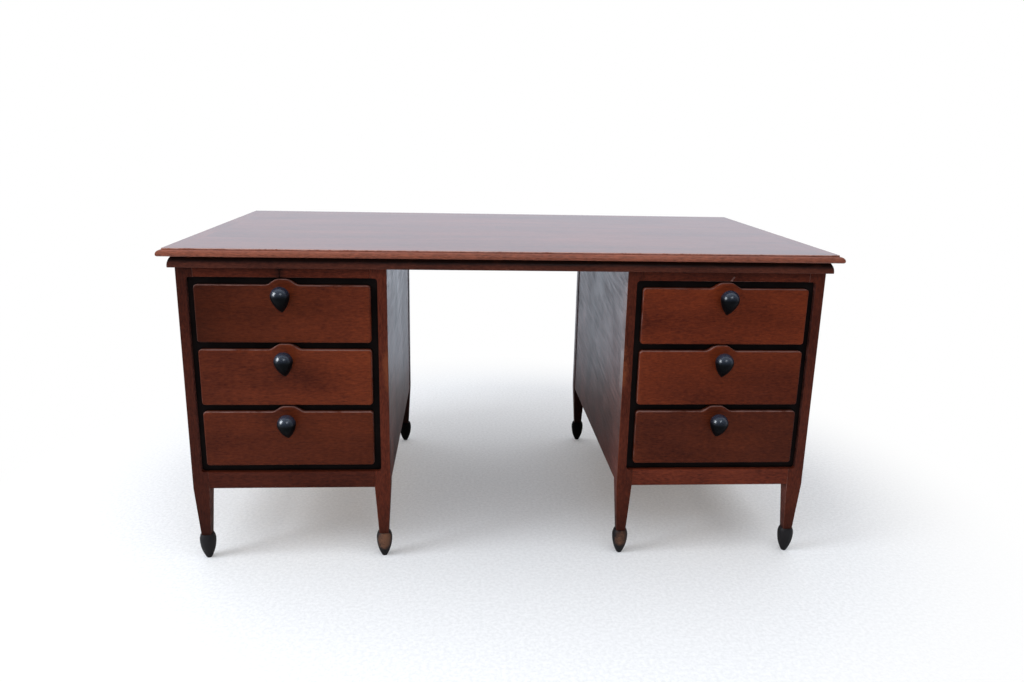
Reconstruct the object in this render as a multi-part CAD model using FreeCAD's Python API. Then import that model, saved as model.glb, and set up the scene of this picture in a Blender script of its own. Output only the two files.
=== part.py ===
import FreeCAD, Part
import math
import os

# Pedestal desk with drawers on both long sides, in millimetres.
# X runs along the desk, -Y is the front, Z is up, and the origin is on the floor under the middle.

# Overall sizes
desk_height = 770.0
top_length = 1550.0
end_overhang = 30.0
front_overhang = 28.0
pedestal_width = 468.0
pedestal_depth = 816.0

# Writing top: a board with a mitred, moulded lipping all round
top_thickness = 18.0
lipping_width = 45.0
lipping_edge_inset = 10.8
lipping_quirk_step = 2.5
lipping_quirk_drop = 4.0
lipping_nose_height = 4.5
lipping_nose_round = 3.5

# Moulded frame under the top, and the battens across it
frame_height = 26.5
frame_reach = 12.5
frame_member_width = 70.0
frame_lip_height = 4.0
frame_top_inset = 9.5
batten_width = 60.0

# Screws that hold the top to its frame
screw_diameter = 5.0
screw_head_diameter = 10.0
screw_head_height = 3.0
screw_slot_width = 1.2
screw_slot_depth = 1.2
screw_bite = 12.0
screws_per_long_member = 4
screws_per_end_member = 2
screw_pitch = 340.0

# Pegs that locate the top on the pedestals
peg_diameter = 12.0
peg_rise = 16.0
peg_spread = 150.0
peg_clearance = 0.1

# Legs and turned feet
leg_size = 38.0
leg_toe_size = 23.0
leg_arris = 1.5
foot_height = 64.0
foot_diameter = 38.4
foot_belly_height = 49.0
foot_toe_diameter = 12.0
foot_spigot_diameter = 12.0
foot_spigot_length = 28.0
foot_spigot_clearance = 0.1

# Pedestal carcase
ground_clearance = 190.5
bottom_rail_height = 41.5
top_rail_height = 22.5
rail_arris = 1.5
panel_thickness = 14.0
panel_setback = 2.0
board_thickness = 12.0
bottom_board_lift = 12.0
partition_thickness = 16.0

# Black surround, let into the legs behind the drawer fronts
stile_face = 21.5
recess_depth = 12.0
recess_corner = 8.0
surround_thickness = 10.0
surround_inset = 8.0
side_border = 16.0
level_border = 17.5
bottom_border = 18.5

# Drawer fronts, each with a hump in the middle of its top edge
level_names = ["bottom", "middle", "top"]
front_proud = 4.0
front_corner = 7.0
front_round_over = 4.0
front_lip = 8.0
hump_width = 81.0
hump_flat = 13.0
hump_blend = 25.0
hump_foot_blend = 20.0
hump_clearance = 3.5

# Drawer boxes and what they slide on
box_side_clearance = 1.0
box_headroom = 3.0
box_side_thickness = 11.0
box_back_thickness = 10.0
box_back_gap = 6.0
box_bottom_thickness = 6.0
box_bottom_lift = 8.0
runner_ledge = 4.0
guide_height = 20.0
guide_clearance = 1.5

# Drop-shaped knobs
knob_diameter = 43.0
knob_below_edge = 19.5
knob_tip_drop = 38.0
knob_tip_radius = 2.0
knob_tip_gap = 9.5
knob_side_angle = 12.0
knob_neck_length = 4.5
knob_neck_diameter = 17.0
knob_spigot_diameter = 12.0
knob_spigot_clearance = 0.1

# Amount by which a cutting shape passes the face it cuts
cut_margin = 1.0

# Levels and places that follow from the sizes above
top_depth = pedestal_depth + 2 * front_overhang
panel_half_length = top_length / 2 - lipping_width
panel_half_depth = top_depth / 2 - lipping_width
slab_bottom = desk_height - top_thickness
pedestal_top = slab_bottom - frame_height
face_y = pedestal_depth / 2
half_width = pedestal_width / 2
carcase_half = top_length / 2 - end_overhang
pedestal_centre = carcase_half - half_width
knee_width = 2 * (pedestal_centre - half_width)
frame_half_length = carcase_half + frame_reach
frame_half_depth = face_y + frame_reach
frame_inner_x = frame_half_length - frame_member_width
frame_inner_y = frame_half_depth - frame_member_width
foot_top_radius = (leg_toe_size / 2 - leg_arris) * math.sqrt(2.0) + leg_arris
opening_bottom = ground_clearance + bottom_rail_height
opening_top = pedestal_top - top_rail_height
rail_thickness = recess_depth + surround_thickness
rail_back_y = face_y - rail_thickness
surround_y = face_y - recess_depth
leg_back_y = face_y - leg_size
leg_inner_x = half_width - leg_size
panel_outer_x = half_width - panel_setback
panel_inner_x = panel_outer_x - panel_thickness
board_bottom = pedestal_top - board_thickness
recess_half = half_width - stile_face
level_count = len(level_names)
fronts_bottom = opening_bottom + bottom_border
front_height = (opening_top - fronts_bottom - level_count * level_border) / level_count
front_half = recess_half - side_border
front_thickness = recess_depth + front_proud
hump_rise = level_border - hump_clearance
knob_stand_off = knob_diameter / 2 + knob_neck_length
knob_tip_back = knob_stand_off - knob_tip_radius - knob_tip_gap
box_opening_half = leg_inner_x - surround_inset
box_half = box_opening_half - box_side_clearance
box_height = front_height - 2 * front_lip - box_headroom
box_end_y = partition_thickness / 2 + box_back_gap
runner_inner_x = box_half - box_side_thickness - runner_ledge


def point(x, y, z):
    return FreeCAD.Vector(x, y, z)


def block(x0, x1, y0, y1, z0, z1):
    return Part.makeBox(x1 - x0, y1 - y0, z1 - z0, point(x0, y0, z0))


def pin(diameter, start, direction, length):
    return Part.makeCylinder(diameter / 2, length, start, direction)


def line(start, end):
    return Part.LineSegment(start, end).toShape()


def arc(start, middle, end):
    return Part.Arc(start, middle, end).toShape()


def filled(edges):
    return Part.Face(Part.Wire(edges))


def turned(shape, degrees):
    copy = shape.copy()
    copy.rotate(point(0, 0, 0), point(0, 0, 1), degrees)
    return copy


def mirrored_x(shape):
    return shape.mirror(point(0, 0, 0), point(1, 0, 0))


def moved_x(shape, distance):
    copy = shape.copy()
    copy.translate(point(distance, 0, 0))
    return copy


def group(shapes):
    return Part.makeCompound(shapes)


# Middle point of the arc that leaves a profile's widest point upright and ends at another point
def round_middle(tip, end):
    across = end[0] - tip[0]
    rise = end[1] - tip[1]
    radius = (across ** 2 + rise ** 2) / (2 * across)
    centre = (tip[0] + radius, tip[1])
    to_tip = (-radius, 0.0)
    to_end = (end[0] - centre[0], end[1] - centre[1])
    bisector = (to_tip[0] + to_end[0], to_tip[1] + to_end[1])
    reach = abs(radius) / math.hypot(bisector[0], bisector[1])
    return (centre[0] + bisector[0] * reach, centre[1] + bisector[1] * reach)


# One side of a mitred rectangle: a section given as (inset from the outer edge, height), run along
# the side and cut to 45 degrees at both ends, then turned into place
def mitred_side(section, half_length, offset, width, degrees):
    run = section.copy()
    run.translate(point(-half_length, -offset, 0))
    run = run.extrude(point(2 * half_length, 0, 0))
    box = run.BoundBox
    outline = Part.makePolygon([
        point(-half_length, -offset, box.ZMin),
        point(half_length, -offset, box.ZMin),
        point(half_length - width, width - offset, box.ZMin),
        point(width - half_length, width - offset, box.ZMin),
        point(-half_length, -offset, box.ZMin),
    ])
    wedge = Part.Face(outline).extrude(point(0, 0, box.ZLength))
    return turned(run.common(wedge).Solids[0], degrees)


def mitred_ring(section, half_length, half_depth, width):
    return [
        mitred_side(section, half_length, half_depth, width, 0),
        mitred_side(section, half_depth, half_length, width, 90),
        mitred_side(section, half_length, half_depth, width, 180),
        mitred_side(section, half_depth, half_length, width, 270),
    ]


# Lipping section: quirk at the top edge, rounded nose, flat underside
def lipping_section():
    tip = (0.0, slab_bottom + lipping_nose_height)
    shoulder = (lipping_edge_inset - lipping_quirk_step, desk_height - lipping_quirk_drop)
    under = (lipping_nose_round, slab_bottom)
    shoulder_middle = round_middle(tip, shoulder)
    under_middle = round_middle(tip, under)
    quirk_y = lipping_edge_inset
    quirk_z = desk_height - lipping_quirk_drop
    return filled([
        line(point(0, lipping_width, slab_bottom), point(0, *under)),
        arc(point(0, *under), point(0, *under_middle), point(0, *tip)),
        arc(point(0, *tip), point(0, *shoulder_middle), point(0, *shoulder)),
        line(point(0, *shoulder), point(0, quirk_y, quirk_z)),
        line(point(0, quirk_y, quirk_z), point(0, quirk_y, desk_height)),
        line(point(0, quirk_y, desk_height), point(0, lipping_width, desk_height)),
        line(point(0, lipping_width, desk_height), point(0, lipping_width, slab_bottom)),
    ])


# Frame section: upright lip below, rounded back to a narrower top
def frame_section():
    lip_bottom = (0.0, pedestal_top)
    lip_top = (0.0, pedestal_top + frame_lip_height)
    shoulder = (frame_top_inset, slab_bottom)
    middle = round_middle(lip_top, shoulder)
    return filled([
        line(point(0, frame_member_width, pedestal_top), point(0, *lip_bottom)),
        line(point(0, *lip_bottom), point(0, *lip_top)),
        arc(point(0, *lip_top), point(0, *middle), point(0, *shoulder)),
        line(point(0, *shoulder), point(0, frame_member_width, slab_bottom)),
        line(point(0, frame_member_width, slab_bottom), point(0, frame_member_width, pedestal_top)),
    ])


# Even places about the middle
def spread(count, pitch):
    return [(index - (count - 1) / 2) * pitch for index in range(count)]


# Long members: a screw over the middle of each pedestal, the others spread over the knee hole
def screw_places():
    line_x = (panel_half_length + frame_inner_x) / 2
    line_y = (panel_half_depth + frame_inner_y) / 2
    knee_count = screws_per_long_member - 2
    along = spread(2, 2 * pedestal_centre) + spread(knee_count, knee_width / knee_count)
    across = spread(screws_per_end_member, screw_pitch)
    long_places = [(x, side * line_y) for side in (-1, 1) for x in along]
    end_places = [(side * line_x, y) for side in (-1, 1) for y in across]
    return long_places + end_places


# Countersunk screw with its head level with the frame's underside
def screw(place):
    start = point(place[0], place[1], pedestal_top)
    up = point(0, 0, 1)
    head = Part.makeCone(screw_head_diameter / 2, screw_diameter / 2, screw_head_height, start, up)
    return head.fuse(pin(screw_diameter, start, up, frame_height + screw_bite)).removeSplitter()


def slotted_screw(place):
    half_head = screw_head_diameter / 2
    slot = block(
        place[0] - half_head, place[0] + half_head,
        place[1] - screw_slot_width / 2, place[1] + screw_slot_width / 2,
        pedestal_top - cut_margin, pedestal_top + screw_slot_depth,
    )
    return screw(place).cut(slot).Solids[0]


def peg_places():
    peg_y = (rail_back_y + frame_inner_y) / 2
    return [
        (side * pedestal_centre + offset, end * peg_y)
        for side in (-1, 1)
        for offset in (-peg_spread, peg_spread)
        for end in (-1, 1)
    ]


def peg(place, clearance):
    start = point(place[0], place[1], board_bottom)
    return pin(peg_diameter + 2 * clearance, start, point(0, 0, 1), board_thickness + peg_rise)


def without_all(shape, cutters):
    return shape.cut(group(cutters)).Solids[0]


def top_panel():
    sheet = block(
        -panel_half_length, panel_half_length, -panel_half_depth, panel_half_depth,
        slab_bottom, desk_height,
    )
    return without_all(sheet, [screw(place) for place in screw_places()])


def top_lipping():
    return group(mitred_ring(lipping_section(), top_length / 2, top_depth / 2, lipping_width))


def top_frame():
    members = mitred_ring(frame_section(), frame_half_length, frame_half_depth, frame_member_width)
    cutters = [screw(place) for place in screw_places()]
    cutters += [peg(place, peg_clearance) for place in peg_places()]
    return group([without_all(member, cutters) for member in members])


def cross_battens():
    inner_x = knee_width / 2
    batten = block(
        inner_x, inner_x + batten_width, -frame_inner_y, frame_inner_y, pedestal_top, slab_bottom,
    )
    return group([batten, mirrored_x(batten)])


# The pieces below are made for a pedestal standing over the origin, seen from its front


# Quarter of a circle in an upright plane, anticlockwise from an angle in degrees
def corner(centre_x, centre_z, radius, y, angle):
    def at(degrees):
        turn = math.radians(degrees)
        return point(centre_x + radius * math.cos(turn), y, centre_z + radius * math.sin(turn))

    return arc(at(angle), at(angle + 45), at(angle + 90))


# Upright rectangle with rounded corners, whose top edge runs from right to left as given
def rounded_outline(half, bottom, top, radius, y, top_edges):
    side = half - radius
    low = bottom + radius
    high = top - radius
    right_edges = [
        line(point(-side, y, bottom), point(side, y, bottom)),
        corner(side, low, radius, y, -90),
        line(point(half, y, low), point(half, y, high)),
        corner(side, high, radius, y, 0),
    ]
    left_edges = [
        corner(-side, high, radius, y, 90),
        line(point(-half, y, high), point(-half, y, low)),
        corner(-side, low, radius, y, 180),
    ]
    return filled(right_edges + top_edges + left_edges)


# Space of the recess that the black surround and the drawer fronts sit in
def recess(front_y, back_y):
    side = recess_half - recess_corner
    top_edge = line(point(side, front_y, opening_top), point(-side, front_y, opening_top))
    outline = rounded_outline(recess_half, opening_bottom, opening_top, recess_corner, front_y, [top_edge])
    return outline.extrude(point(0, back_y - front_y, 0))


# Square with rounded corners, for one level of a leg
def leg_outline(centre_x, centre_y, size, z):
    half = size / 2
    square = Part.makePlane(size, size, point(centre_x - half, centre_y - half, z))
    solid = square.extrude(point(0, 0, cut_margin))
    uprights = [edge for edge in solid.Edges if edge.BoundBox.ZLength > cut_margin / 2]
    rounded = solid.makeFillet(leg_arris, uprights)
    base = min(rounded.Faces, key=lambda face: face.CenterOfMass.z)
    return base.OuterWire


def leg_centre():
    return (leg_size / 2 - half_width, leg_size / 2 - face_y)


# Left front leg: square beside the carcase, tapered on all sides below it
def leg():
    centre_x, centre_y = leg_centre()
    levels = [(leg_toe_size, foot_height), (leg_size, ground_clearance), (leg_size, pedestal_top)]
    outlines = [leg_outline(centre_x, centre_y, size, z) for size, z in levels]
    post = Part.makeLoft(outlines, True, True)
    post = post.cut(recess(-face_y - cut_margin, -rail_back_y))
    socket_diameter = foot_spigot_diameter + 2 * foot_spigot_clearance
    socket_base = point(centre_x, centre_y, foot_height)
    socket = pin(socket_diameter, socket_base, point(0, 0, 1), foot_spigot_length)
    return post.cut(socket).Solids[0]


# Left front foot, turned to a bud with a spigot on top
def foot():
    centre_x, centre_y = leg_centre()
    belly = (foot_diameter / 2, foot_belly_height)
    toe = (foot_toe_diameter / 2, 0.0)
    top = (foot_top_radius, foot_height)
    below = round_middle(belly, toe)
    above = round_middle(belly, top)
    outline = filled([
        line(point(0, 0, 0), point(toe[0], 0, 0)),
        arc(point(toe[0], 0, toe[1]), point(below[0], 0, below[1]), point(belly[0], 0, belly[1])),
        arc(point(belly[0], 0, belly[1]), point(above[0], 0, above[1]), point(top[0], 0, top[1])),
        line(point(top[0], 0, foot_height), point(0, 0, foot_height)),
        line(point(0, 0, foot_height), point(0, 0, 0)),
    ])
    bud = outline.revolve(point(0, 0, 0), point(0, 0, 1), 360)
    spigot = pin(foot_spigot_diameter, point(0, 0, foot_height), point(0, 0, 1), foot_spigot_length)
    bud = bud.fuse(spigot).removeSplitter()
    bud.translate(point(centre_x, centre_y, 0))
    return bud.Solids[0]


def four_corners(shape):
    front_pair = [shape, mirrored_x(shape)]
    return front_pair + [turned(piece, 180) for piece in front_pair]


# Front rail with softened front edges
def rail(bottom, top):
    bar = block(-leg_inner_x, leg_inner_x, -face_y, -rail_back_y, bottom, top)
    front_edges = [
        edge for edge in bar.Edges
        if edge.BoundBox.YMax < -face_y + cut_margin and edge.BoundBox.XLength > leg_inner_x
    ]
    return bar.makeFillet(rail_arris, front_edges)


def front_rails():
    return [rail(ground_clearance, opening_bottom), rail(opening_top, pedestal_top)]


def front_level(level):
    return fronts_bottom + level * (front_height + level_border)


def box_level(level):
    return front_level(level) + front_lip


# Bottom and top of each rail of the surround: one under every drawer, and one over the last
def divider_spans():
    bottoms = [opening_bottom]
    tops = []
    for level in range(level_count):
        tops.append(box_level(level))
        bottoms.append(front_level(level) + front_height - front_lip)
    tops.append(opening_top)
    return list(zip(bottoms, tops))


# Black surround: two stiles the full height, with rails between them
def surround():
    blank = recess(-surround_y, -rail_back_y)
    stile_side = block(
        -recess_half, -box_opening_half, -surround_y, -rail_back_y, opening_bottom, opening_top,
    )
    stile = blank.common(stile_side).Solids[0]
    rails = [
        block(-box_opening_half, box_opening_half, -surround_y, -rail_back_y, bottom, top)
        for bottom, top in divider_spans()
    ]
    return [stile, mirrored_x(stile)] + rails


def leg_block():
    return block(-half_width, -leg_inner_x, -face_y, -leg_back_y, 0, pedestal_top)


def both_leg_blocks():
    return group([leg_block(), mirrored_x(leg_block())])


def beside_box(inner_x, bottom, top):
    strip = block(-panel_inner_x, -inner_x, -rail_back_y, -partition_thickness / 2, bottom, top)
    strip = strip.cut(leg_block()).Solids[0]
    return [strip, mirrored_x(strip)]


# Runner behind each surround rail that a drawer slides on, guide beside the drawer, and kickers
# that keep the top drawer level
def runners():
    spans = divider_spans()
    strips = []
    for bottom, seat in spans[:-1]:
        strips += beside_box(runner_inner_x, bottom, seat)
        strips += beside_box(box_half + guide_clearance, seat, seat + guide_height)
    kicker_bottom = spans[-1][0]
    strips += beside_box(runner_inner_x, kicker_bottom, board_bottom)
    return strips


def side_panel():
    return block(
        -panel_outer_x, -panel_inner_x, -leg_back_y, leg_back_y, ground_clearance, pedestal_top,
    )


# Board across the pedestal, notched round the four legs
def board(bottom):
    top = bottom + board_thickness
    sheet = block(-panel_inner_x, panel_inner_x, -rail_back_y, rail_back_y, bottom, top)
    corners = both_leg_blocks()
    return sheet.cut(corners).cut(turned(corners, 180)).Solids[0]


def partition():
    half = partition_thickness / 2
    bottom = ground_clearance + bottom_board_lift + board_thickness
    return block(-panel_inner_x, panel_inner_x, -half, half, bottom, board_bottom)


# Top edge of a drawer front from right to left: straight, up a round blend at the foot and another at
# the crown, level over the hump, and down the same way. The ramp between the blends is straight where
# they leave room for it, and where they don't, both are smaller and meet
def humped_edge(top, y):
    end_x = front_half - front_corner
    foot_x = hump_width / 2
    flat_x = hump_flat / 2
    run = foot_x - flat_x
    room = (run ** 2 + hump_rise ** 2) / (2 * hump_rise)
    share = min(1.0, room / (hump_blend + hump_foot_blend))
    crown_radius = share * hump_blend
    foot_radius = share * hump_foot_blend
    both = crown_radius + foot_radius
    spare = both - hump_rise
    sweep = math.asin(min(1.0, both / math.hypot(run, spare))) - math.atan2(spare, run)

    def hollow(side, angle):
        x = foot_x - foot_radius * math.sin(angle)
        return point(side * x, y, top + foot_radius * (1 - math.cos(angle)))

    def rounded(side, angle):
        x = flat_x + crown_radius * math.sin(angle)
        return point(side * x, y, top + hump_rise - crown_radius * (1 - math.cos(angle)))

    def ramp(side):
        return [line(hollow(side, sweep), rounded(side, sweep))] if share == 1.0 else []

    return [
        line(point(end_x, y, top), hollow(1, 0)),
        arc(hollow(1, 0), hollow(1, sweep / 2), hollow(1, sweep)),
        *ramp(1),
        arc(rounded(1, sweep), rounded(1, sweep / 2), rounded(1, 0)),
        line(rounded(1, 0), rounded(-1, 0)),
        arc(rounded(-1, 0), rounded(-1, sweep / 2), rounded(-1, sweep)),
        *ramp(-1),
        arc(hollow(-1, sweep), hollow(-1, sweep / 2), hollow(-1, 0)),
        line(hollow(-1, 0), point(-end_x, y, top)),
    ]


def knob_centre(level):
    knob_y = -face_y - front_proud - knob_stand_off
    return point(0, knob_y, front_level(level) + front_height - knob_below_edge)


# Drawer front: rounded corners, humped top edge, rounded-over face, hole for the knob's spigot
def drawer_front(level):
    bottom = front_level(level)
    top = bottom + front_height
    y = -face_y - front_proud
    outline = rounded_outline(front_half, bottom, top, front_corner, y, humped_edge(top, y))
    slab = outline.extrude(point(0, front_thickness, 0))
    face_edges = [edge for edge in slab.Edges if edge.BoundBox.YMax < y + cut_margin]
    slab = slab.makeFillet(front_round_over, face_edges)
    hole_start = point(0, y - cut_margin, knob_centre(level).z)
    hole_diameter = knob_spigot_diameter + 2 * knob_spigot_clearance
    hole = pin(hole_diameter, hole_start, point(0, 1, 0), front_thickness + 2 * cut_margin)
    return slab.cut(hole).Solids[0]


# Drawer box: two sides, a back between them and a bottom held up off the runners
def drawer_box(level):
    bottom = box_level(level)
    top = bottom + box_height
    floor_bottom = bottom + box_bottom_lift
    floor_top = floor_bottom + box_bottom_thickness
    inner = box_half - box_side_thickness
    side = block(-box_half, -inner, -surround_y, -box_end_y, bottom, top)
    floor = block(-inner, inner, -surround_y, -box_end_y, floor_bottom, floor_top)
    back = block(-inner, inner, -box_end_y - box_back_thickness, -box_end_y, floor_top, top)
    return [side, mirrored_x(side), floor, back]


# Knob: a ball drawn out to a point that leans back to the drawer, on a neck with a spigot. The
# swelling side is an arc that touches the ball below its widest ring, and the small round tip
def knob(level):
    ball = knob_diameter / 2
    tip = knob_tip_radius
    reach = math.hypot(knob_tip_drop, knob_tip_back)
    leaving = math.radians(knob_side_angle)
    narrowing = ball - tip
    arm = (reach ** 2 - narrowing ** 2) / (2 * (narrowing - reach * math.sin(leaving)))
    side_centre = (-arm * math.cos(leaving), arm * math.sin(leaving))
    arriving = math.atan2(reach + side_centre[1], -side_centre[0])

    def on_circle(centre, radius, angle):
        return point(centre[0] + radius * math.cos(angle), 0, centre[1] - radius * math.sin(angle))

    def on_ball(angle):
        return on_circle((0, 0), ball, angle)

    def on_side(angle):
        return on_circle(side_centre, arm + ball, angle)

    def on_tip(angle):
        return on_circle((0, -reach), tip, angle)

    quarter = math.pi / 2
    outline = filled([
        arc(on_ball(-quarter), on_ball((leaving - quarter) / 2), on_ball(leaving)),
        arc(on_side(leaving), on_side((leaving + arriving) / 2), on_side(arriving)),
        arc(on_tip(arriving), on_tip((arriving + quarter) / 2), on_tip(quarter)),
        line(on_tip(quarter), on_ball(-quarter)),
    ])
    drop = outline.revolve(point(0, 0, 0), point(0, 0, 1), 360)
    lean = math.degrees(math.atan2(knob_tip_back, knob_tip_drop))
    drop.rotate(point(0, 0, 0), point(1, 0, 0), lean)
    back = point(0, 1, 0)
    neck = pin(knob_neck_diameter, point(0, 0, 0), back, knob_stand_off)
    spigot = pin(knob_spigot_diameter, point(0, 0, 0), back, knob_stand_off + front_thickness)
    whole = drop.fuse([neck, spigot]).removeSplitter()
    whole.translate(knob_centre(level))
    return whole.Solids[0]


def front_and_rear(shapes):
    return list(shapes) + [turned(shape, 180) for shape in shapes]


def pedestal_parts(side_name, side):
    offset = side * pedestal_centre
    outer_panel = side_panel()
    inner_panel = mirrored_x(side_panel())
    if side > 0:
        outer_panel, inner_panel = inner_panel, outer_panel
    groups = {
        "legs": four_corners(leg()),
        "feet": four_corners(foot()),
        "outer_side_panel": [outer_panel],
        "inner_side_panel": [inner_panel],
        "rails": front_and_rear(front_rails()),
        "drawer_surrounds": front_and_rear(surround()),
        "drawer_runners": front_and_rear(runners()),
    }
    for face_name, degrees in (("front", 0), ("rear", 180)):
        for level, level_name in enumerate(level_names):
            drawer = f"{face_name}_{level_name}_drawer"
            groups[f"{drawer}_front"] = [turned(drawer_front(level), degrees)]
            groups[f"{drawer}_box"] = [turned(piece, degrees) for piece in drawer_box(level)]
            groups[f"{drawer}_knob"] = [turned(knob(level), degrees)]
    return {
        f"{side_name}_{name}": group([moved_x(piece, offset) for piece in pieces])
        for name, pieces in groups.items()
    }


# Boards that are alike in both pedestals
def in_both_pedestals(shape):
    return group([moved_x(shape, -pedestal_centre), moved_x(shape, pedestal_centre)])


def pegged_boards():
    boards = in_both_pedestals(board(board_bottom)).Solids
    cutters = [peg(place, peg_clearance) for place in peg_places()]
    return group([without_all(sheet, cutters) for sheet in boards])


desk = {
    "top_panel": top_panel(),
    "top_lipping": top_lipping(),
    "top_frame_moulding": top_frame(),
    "top_cross_battens": cross_battens(),
    "top_fixing_screws": group([slotted_screw(place) for place in screw_places()]),
    "pedestal_pegs": group([peg(place, 0.0) for place in peg_places()]),
    "pedestal_top_boards": pegged_boards(),
    "pedestal_bottom_boards": in_both_pedestals(board(ground_clearance + bottom_board_lift)),
    "pedestal_partitions": in_both_pedestals(partition()),
}
desk.update(pedestal_parts("left", -1))
desk.update(pedestal_parts("right", 1))

os.makedirs("parts", exist_ok=True)
for node, shape in desk.items():
    shape.exportStep(f"parts/{node}.step")
    print(node, len(shape.Solids), "solids", round(shape.Volume / 1000.0, 1), "cm3", shape.isValid())
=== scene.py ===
import math

import bpy
from mathutils import Matrix, Vector


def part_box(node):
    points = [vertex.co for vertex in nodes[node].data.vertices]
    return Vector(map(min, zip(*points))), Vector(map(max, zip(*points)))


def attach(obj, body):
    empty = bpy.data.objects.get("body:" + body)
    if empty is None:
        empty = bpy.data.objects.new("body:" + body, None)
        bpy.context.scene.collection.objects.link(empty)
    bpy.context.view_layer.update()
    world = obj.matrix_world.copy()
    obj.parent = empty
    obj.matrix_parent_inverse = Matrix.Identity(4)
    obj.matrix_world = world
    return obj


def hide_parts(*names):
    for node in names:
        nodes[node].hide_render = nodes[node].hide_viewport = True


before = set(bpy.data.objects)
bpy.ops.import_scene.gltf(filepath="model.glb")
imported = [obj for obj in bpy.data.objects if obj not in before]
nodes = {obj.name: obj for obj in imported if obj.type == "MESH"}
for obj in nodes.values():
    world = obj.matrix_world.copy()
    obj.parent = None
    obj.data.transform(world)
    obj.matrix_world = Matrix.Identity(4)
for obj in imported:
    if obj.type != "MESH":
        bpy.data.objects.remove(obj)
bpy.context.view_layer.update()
print("frame loaded:", len(nodes), "nodes")

sides = ("left", "right")
faces = ("front", "rear")
levels = ("bottom", "middle", "top")
drawers = [(f"{side}_{face}_{level}", face) for face in faces for side in sides for level in levels]
faceTurn = {"front": 0, "rear": 180}  # degrees, from the way the front ones face
mergeReach = 0.00002  # points closer than this become one
cutReach = 0.000001
hair = 0.0001  # what is closer than this is level
slack = 0.001
overshoot = 0.01  # how far a cutter stands out of what it cuts
longEdge = 0.05
facing = 0.9  # part of a normal that lies along the axis it faces
within = 1.2  # a little past a size, so that its edge is caught


# handling of objects and selections

def enterEdit():
    bpy.ops.object.mode_set(mode="EDIT")


def leaveEdit():
    bpy.ops.object.mode_set(mode="OBJECT")


def selectAll():  # of the mesh in edit mode
    bpy.ops.mesh.select_all(action="SELECT")


def faceOutwards():
    selectAll()
    bpy.ops.mesh.normals_make_consistent(inside=False)


def mergeClose():
    selectAll()
    bpy.ops.mesh.remove_doubles(threshold=mergeReach)


def pushOut(x, y, z):  # extrudes what is selected
    bpy.ops.mesh.extrude_region_move(TRANSFORM_OT_translate={"value": (x, y, z)})


def startFresh():
    if bpy.context.mode != "OBJECT":
        leaveEdit()
    bpy.ops.object.select_all(action="DESELECT")


def choose(piece):
    startFresh()
    piece.select_set(True)
    bpy.context.view_layer.objects.active = piece


def settle(name):  # the place, turn and size of what was just added go into its mesh
    piece = bpy.context.object
    piece.name = name
    piece.data.name = name
    bpy.ops.object.transform_apply(location=True, rotation=True, scale=True)
    return piece


def turnPiece(piece, turn, place=(0, 0, 0)):
    choose(piece)
    piece.location = place
    piece.rotation_euler = turn
    return settle(piece.name)


def addBlock(name, low, high):
    startFresh()
    middle = [(a + b) / 2 for a, b in zip(low, high)]
    bpy.ops.mesh.primitive_cube_add(size=1, location=middle)
    bpy.context.object.scale = [b - a for a, b in zip(low, high)]
    return settle(name)


def addRod(name, start, end, radius, around=32):
    startFresh()
    run = Vector(end) - Vector(start)
    middle = (Vector(start) + Vector(end)) / 2
    turn = run.to_track_quat("Z", "Y").to_euler()
    bpy.ops.mesh.primitive_cylinder_add(
        vertices=around, radius=radius, depth=run.length, location=middle, rotation=turn)
    return settle(name)


def pick(piece, kind, test):  # leaves edit mode on, with only what passes the test selected
    enterEdit()
    bpy.ops.mesh.select_mode(type=kind)
    bpy.ops.mesh.select_all(action="DESELECT")
    leaveEdit()
    mesh = piece.data
    if kind == "FACE":
        for face in mesh.polygons:
            face.select = test(face.center, face.normal)
    else:
        for edge in mesh.edges:
            edge.select = test(*(mesh.vertices[i].co for i in edge.vertices))
    enterEdit()


def bevelPicked(width, steps):
    bpy.ops.mesh.bevel(
        offset=width, offset_type="OFFSET", segments=steps, profile=0.5, affect="EDGES", clamp_overlap=False)


def bevelWhere(piece, test, width, steps):
    pick(piece, "EDGE", test)
    bevelPicked(width, steps)
    leaveEdit()


def traceLine(name, points):  # a chain of edges, drawn from one vertex, and left selected in edit mode
    startFresh()
    bpy.ops.mesh.primitive_plane_add(size=0.01, location=points[0])
    piece = settle(name)
    enterEdit()
    bpy.ops.mesh.select_mode(type="VERT")
    selectAll()
    bpy.ops.mesh.merge(type="CENTER")
    for here, there in zip(points, points[1:]):
        pushOut(*(b - a for a, b in zip(here, there)))
    selectAll()
    return piece


def slicePiece(piece, normal, places):  # lines of points across a piece, to carry its marks
    choose(piece)
    enterEdit()
    for place in places:
        selectAll()
        bpy.ops.mesh.bisect(plane_co=place, plane_no=normal, threshold=cutReach)
    leaveEdit()


def turnProfile(name, profile, steps):  # a profile of (radius, height) turned about the upright axis
    piece = traceLine(name, [(radius, 0, height) for radius, height in profile])
    bpy.ops.mesh.spin(steps=steps, angle=math.tau, center=(0, 0, 0), axis=(0, 0, 1))
    mergeClose()
    faceOutwards()
    leaveEdit()
    return piece


def modify(piece, kind, **values):  # adds a modifier and applies it
    choose(piece)
    bpy.ops.object.modifier_add(type=kind)
    modifier = piece.modifiers[-1]
    for key, value in values.items():
        setattr(modifier, key, value)
    bpy.ops.object.modifier_apply(modifier=modifier.name)


def combine(piece, other, operation):
    modify(piece, "BOOLEAN", operation=operation, solver="EXACT", object=other)
    discard(other)


def drill(piece, *rod):
    combine(piece, addRod("drill", *rod), "DIFFERENCE")


def inEdit(piece, work):
    choose(piece)
    enterEdit()
    work()
    leaveEdit()


def smoothShade(piece, angle=35):
    choose(piece)
    bpy.ops.object.shade_smooth_by_angle(angle=math.radians(angle))
    modify(piece, "WEIGHTED_NORMAL", keep_sharp=True)


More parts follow.
